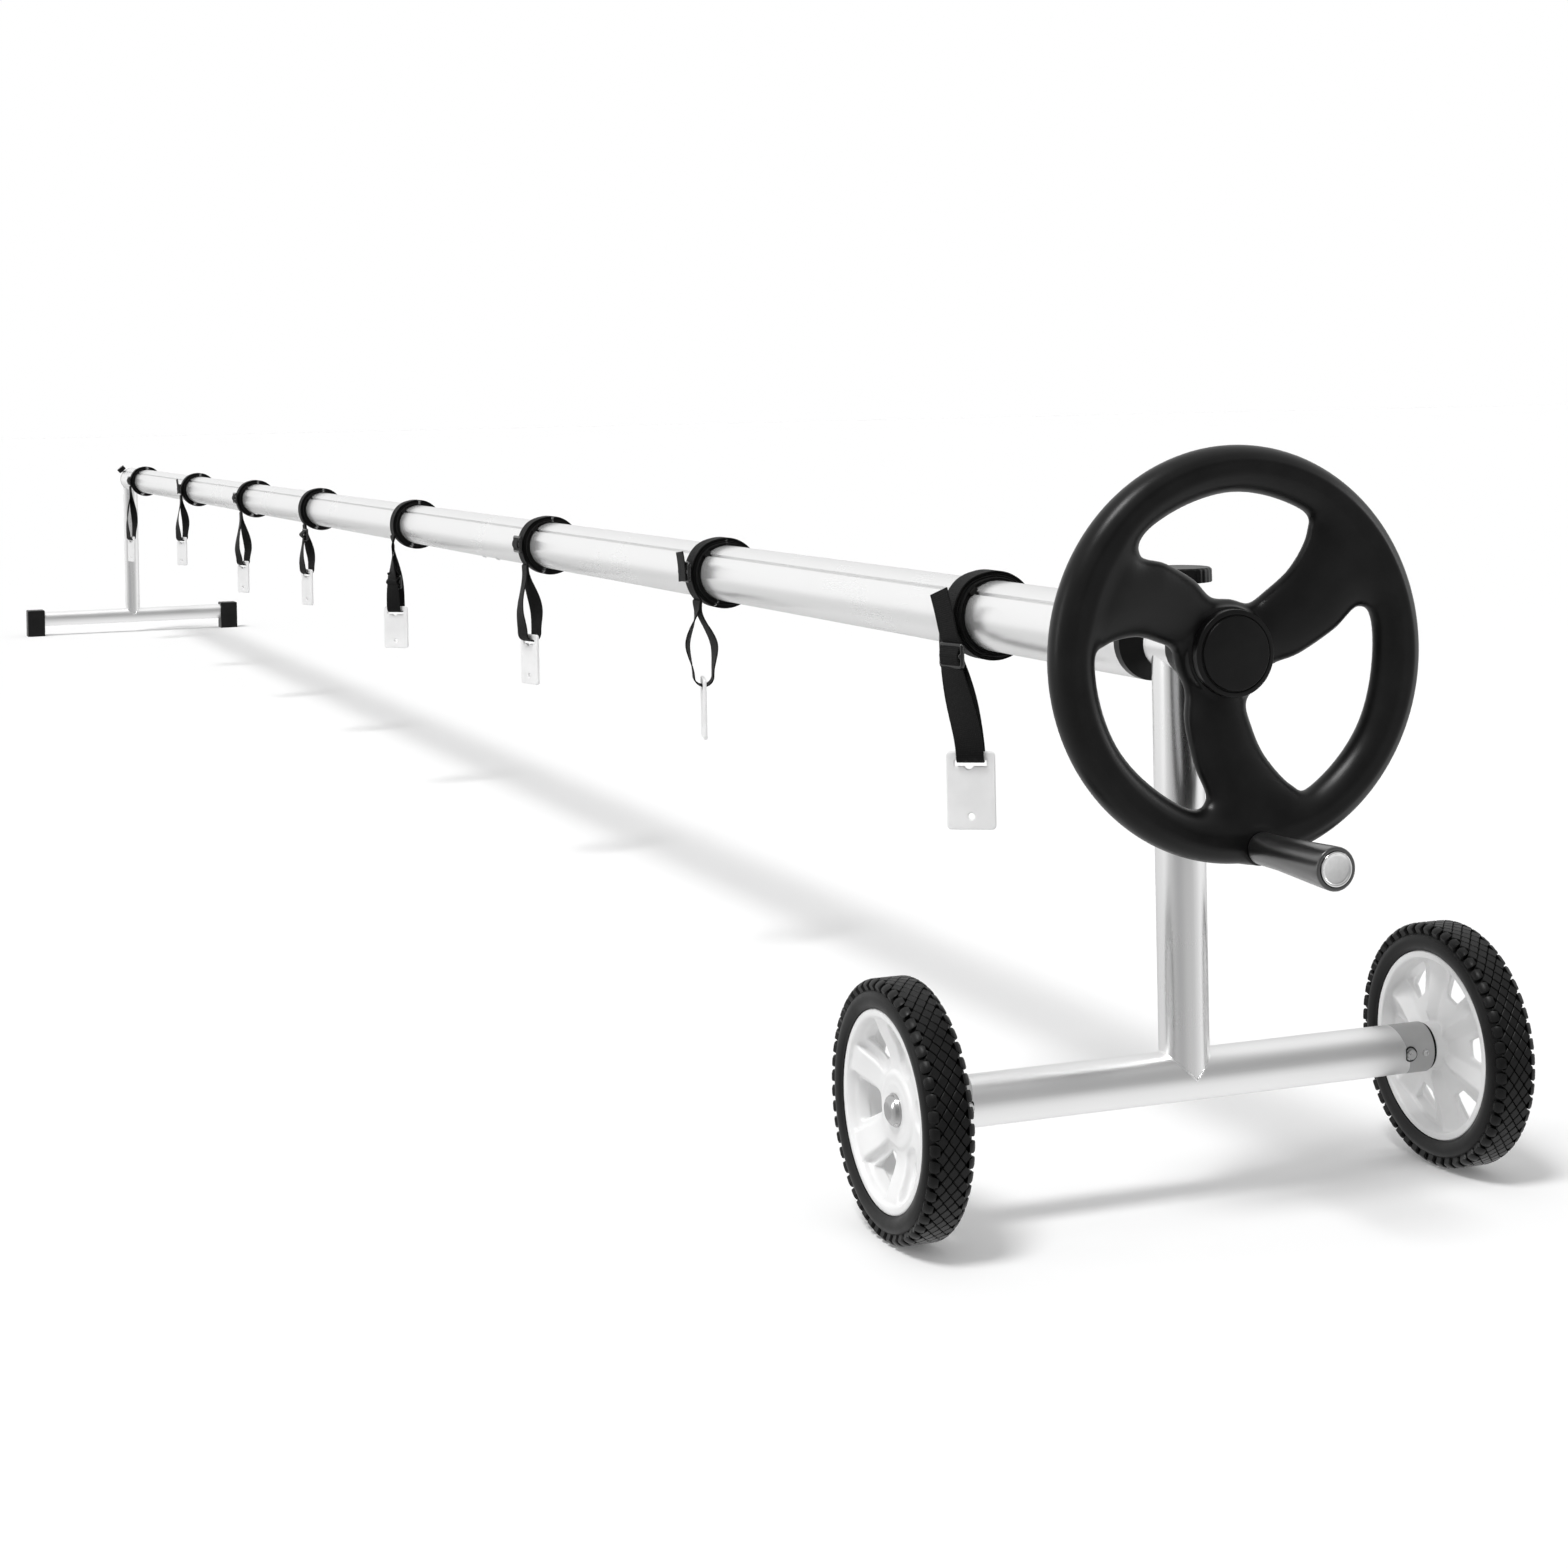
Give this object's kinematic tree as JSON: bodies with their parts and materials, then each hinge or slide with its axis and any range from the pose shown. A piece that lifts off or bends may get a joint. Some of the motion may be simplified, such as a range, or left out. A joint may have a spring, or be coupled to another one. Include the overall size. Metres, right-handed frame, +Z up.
{
  "type": "pool cover reel",
  "caption": "Long slotted drum on a wheeled drive stand and a footed idle stand, cranked by a dished hand wheel, with hanging webbing straps that hold a pool cover.",
  "frame": {"origin": "middle of the overall box, on the ground", "axes": "+X along the drum towards the hand wheel, +Z up"},
  "size_m": [6.403, 0.595, 0.6043],
  "materials": {
    "polished_aluminium": "polished extrusion",
    "satin_aluminium": "satin anodised tube",
    "steel": "bright zinc plated",
    "black_plastic": "soft matte moulding",
    "grey_plastic": "satin grey moulding",
    "white_plastic": "semi gloss moulding",
    "nylon": "natural nylon",
    "tyre_rubber": "treaded rubber",
    "foot_rubber": "matte rubber",
    "webbing": "woven strap"
  },
  "bodies": {
    "drive_stand": {"drive_base_tube": "satin_aluminium", "drive_upright": "satin_aluminium", "drive_sleeve": "satin_aluminium", "drive_bushes": "nylon", "axle_plugs": "grey_plastic", "stub_axles": "steel", "axle_washers": "black_plastic", "cap_nuts": "steel", "plug_screws": "steel"},
    "left_wheel": {"tyre_left": "tyre_rubber", "hub_left": "white_plastic"},
    "right_wheel": {"tyre_right": "tyre_rubber", "hub_right": "white_plastic"},
    "left_snap_button": {"snap_button_left": "steel"},
    "right_snap_button": {"snap_button_right": "steel"},
    "lock_stem": {"lock_stem": "steel"},
    "lock_knob": {"lock_knob": "black_plastic"},
    "reel": {"drum_tube_near": "polished_aluminium", "drum_tube_middle": "polished_aluminium", "drum_tube_far": "polished_aluminium", "drum_splices": "satin_aluminium", "splice_screws": "steel", "end_plugs": "black_plastic", "drive_shaft": "steel", "idle_shaft": "steel", "shaft_pins": "steel", "hand_wheel": "black_plastic", "wheel_bolt": "steel", "hub_cap": "black_plastic", "crank_bolt": "steel", "strap_rings": "webbing", "groove_keys": "black_plastic", "ring_buckles": "black_plastic"},
    "crank_grip": {"crank_grip": "black_plastic"},
    "idle_stand": {"idle_base_tube": "satin_aluminium", "idle_upright": "satin_aluminium", "idle_sleeve": "satin_aluminium", "idle_bushes": "nylon", "feet": "foot_rubber"},
    "thumb_stem": {"thumb_stem": "steel"},
    "thumb_knob": {"thumb_knob": "black_plastic"},
    "strap_1": {"strap_tail_1": "webbing", "tail_buckle_1": "black_plastic"},
    "plate_1": {"cover_plate_1": "white_plastic"},
    "strap_2": {"strap_tail_2": "webbing"},
    "plate_2": {"cover_plate_2": "white_plastic"},
    "strap_3": {"strap_tail_3": "webbing"},
    "plate_3": {"cover_plate_3": "white_plastic"},
    "strap_4": {"strap_tail_4": "webbing", "tail_buckle_4": "black_plastic"},
    "plate_4": {"cover_plate_4": "white_plastic"},
    "strap_5": {"strap_tail_5": "webbing", "tail_buckle_5": "black_plastic"},
    "plate_5": {"cover_plate_5": "white_plastic"},
    "strap_6": {"strap_tail_6": "webbing"},
    "plate_6": {"cover_plate_6": "white_plastic"},
    "strap_7": {"strap_tail_7": "webbing"},
    "plate_7": {"cover_plate_7": "white_plastic"},
    "strap_8": {"strap_tail_8": "webbing"},
    "plate_8": {"cover_plate_8": "white_plastic"}
  },
  "joints": [
    {"name": "drum_spin", "type": "hinge", "parent": "drive_stand", "child": "reel", "pos_m": [2.98535, 0, 0.444], "axis": [1, 0, 0], "continuous": true},
    {"name": "idle_stand_swing", "type": "hinge", "parent": "drive_stand", "child": "idle_stand", "pos_m": [-3.17665, 0, 0.444], "axis": [1, 0, 0], "continuous": true},
    {"name": "left_wheel_spin", "type": "hinge", "parent": "drive_stand", "child": "left_wheel", "pos_m": [2.98535, -0.247, 0.1], "axis": [0, 1, 0], "continuous": true},
    {"name": "right_wheel_spin", "type": "hinge", "parent": "drive_stand", "child": "right_wheel", "pos_m": [2.98535, 0.247, 0.1], "axis": [0, 1, 0], "continuous": true},
    {"name": "crank_grip_spin", "type": "hinge", "parent": "reel", "child": "crank_grip", "pos_m": [3.09635, 0.008, 0.297], "axis": [1, 0, 0], "continuous": true},
    {"name": "lock_lift", "type": "slide", "parent": "drive_stand", "child": "lock_stem", "axis": [0, 0, 1], "range_m": [0, 0.003]},
    {"name": "lock_turn", "type": "hinge", "parent": "lock_stem", "child": "lock_knob", "pos_m": [2.98735, 0, 0.444], "axis": [0, 0, 1], "range_deg": [0, 722]},
    {"name": "thumb_lift", "type": "slide", "parent": "idle_stand", "child": "thumb_stem", "axis": [0, -0.6428, 0.766], "range_m": [0, 0.0025]},
    {"name": "thumb_turn", "type": "hinge", "parent": "thumb_stem", "child": "thumb_knob", "pos_m": [-3.17865, 0, 0.444], "axis": [0, -0.6428, 0.766], "range_deg": [0, 722]},
    {"name": "left_snap_press", "type": "slide", "parent": "drive_stand", "child": "left_snap_button", "axis": [-1, 0, 0], "range_m": [0, 0.003], "stiffness_N_per_m": 800, "springref_m": -0.002},
    {"name": "right_snap_press", "type": "slide", "parent": "drive_stand", "child": "right_snap_button", "axis": [-1, 0, 0], "range_m": [0, 0.003], "stiffness_N_per_m": 800, "springref_m": -0.002},
    {"name": "strap_1_swing", "type": "hinge", "parent": "reel", "child": "strap_1", "pos_m": [2.63935, -0.04461, 0.43613], "axis": [-1, 0, 0], "range_deg": [-8, 90]},
    {"name": "plate_1_swing", "type": "hinge", "parent": "strap_1", "child": "plate_1", "pos_m": [2.68735, -0.04461, 0.326], "axis": [0.5, 0.866, 0], "range_deg": [-25, 25]},
    {"name": "strap_2_swing", "type": "hinge", "parent": "reel", "child": "strap_2", "pos_m": [1.91535, -0.03203, 0.41197], "axis": [-1, 0, 0], "range_deg": [-43, 90]},
    {"name": "plate_2_swing", "type": "hinge", "parent": "strap_2", "child": "plate_2", "pos_m": [1.93135, -0.03203, 0.327], "axis": [0.9659, -0.2588, 0], "range_deg": [-25, 25]},
    {"name": "strap_3_swing", "type": "hinge", "parent": "reel", "child": "strap_3", "pos_m": [1.19135, -0.0357, 0.41611], "axis": [-1, 0, 0], "range_deg": [-36, 90]},
    {"name": "plate_3_swing", "type": "hinge", "parent": "strap_3", "child": "plate_3", "pos_m": [1.20735, -0.0357, 0.323], "axis": [0.9613, 0.2756, 0], "range_deg": [-25, 25]},
    {"name": "strap_4_swing", "type": "hinge", "parent": "reel", "child": "strap_4", "pos_m": [0.38935, -0.04106, 0.42485], "axis": [-1, 0, 0], "range_deg": [-23, 90]},
    {"name": "plate_4_swing", "type": "hinge", "parent": "strap_4", "child": "plate_4", "pos_m": [0.40135, -0.04106, 0.307], "axis": [0.6561, 0.7547, 0], "range_deg": [-25, 25]},
    {"name": "strap_5_swing", "type": "hinge", "parent": "reel", "child": "strap_5", "pos_m": [-0.41265, -0.03313, 0.4131], "axis": [-1, 0, 0], "range_deg": [-15, 90]},
    {"name": "plate_5_swing", "type": "hinge", "parent": "strap_5", "child": "plate_5", "pos_m": [-0.39665, -0.03313, 0.328], "axis": [0.9659, 0.2588, 0], "range_deg": [-25, 25]},
    {"name": "strap_6_swing", "type": "hinge", "parent": "reel", "child": "strap_6", "pos_m": [-1.12665, -0.03366, 0.41369], "axis": [-1, 0, 0], "range_deg": [-40, 90]},
    {"name": "plate_6_swing", "type": "hinge", "parent": "strap_6", "child": "plate_6", "pos_m": [-1.11065, -0.03366, 0.309], "axis": [0.9336, 0.3584, 0], "range_deg": [-25, 25]},
    {"name": "strap_7_swing", "type": "hinge", "parent": "reel", "child": "strap_7", "pos_m": [-1.92565, -0.04308, 0.43], "axis": [-1, 0, 0], "range_deg": [-16, 90]},
    {"name": "plate_7_swing", "type": "hinge", "parent": "strap_7", "child": "plate_7", "pos_m": [-1.92365, -0.04308, 0.328], "axis": [0.9336, 0.3584, 0], "range_deg": [-25, 25]},
    {"name": "strap_8_swing", "type": "hinge", "parent": "reel", "child": "strap_8", "pos_m": [-2.85065, -0.04308, 0.43], "axis": [-1, 0, 0], "range_deg": [-16, 90]},
    {"name": "plate_8_swing", "type": "hinge", "parent": "strap_8", "child": "plate_8", "pos_m": [-2.85065, -0.04308, 0.29], "axis": [0.9659, 0.2588, 0], "range_deg": [-25, 25]}
  ],
  "couplings": [
    {"joint": "lock_turn", "follows": "lock_lift", "rad_per_m": 4188.8},
    {"joint": "thumb_turn", "follows": "thumb_lift", "rad_per_m": 5026.5}
  ]
}
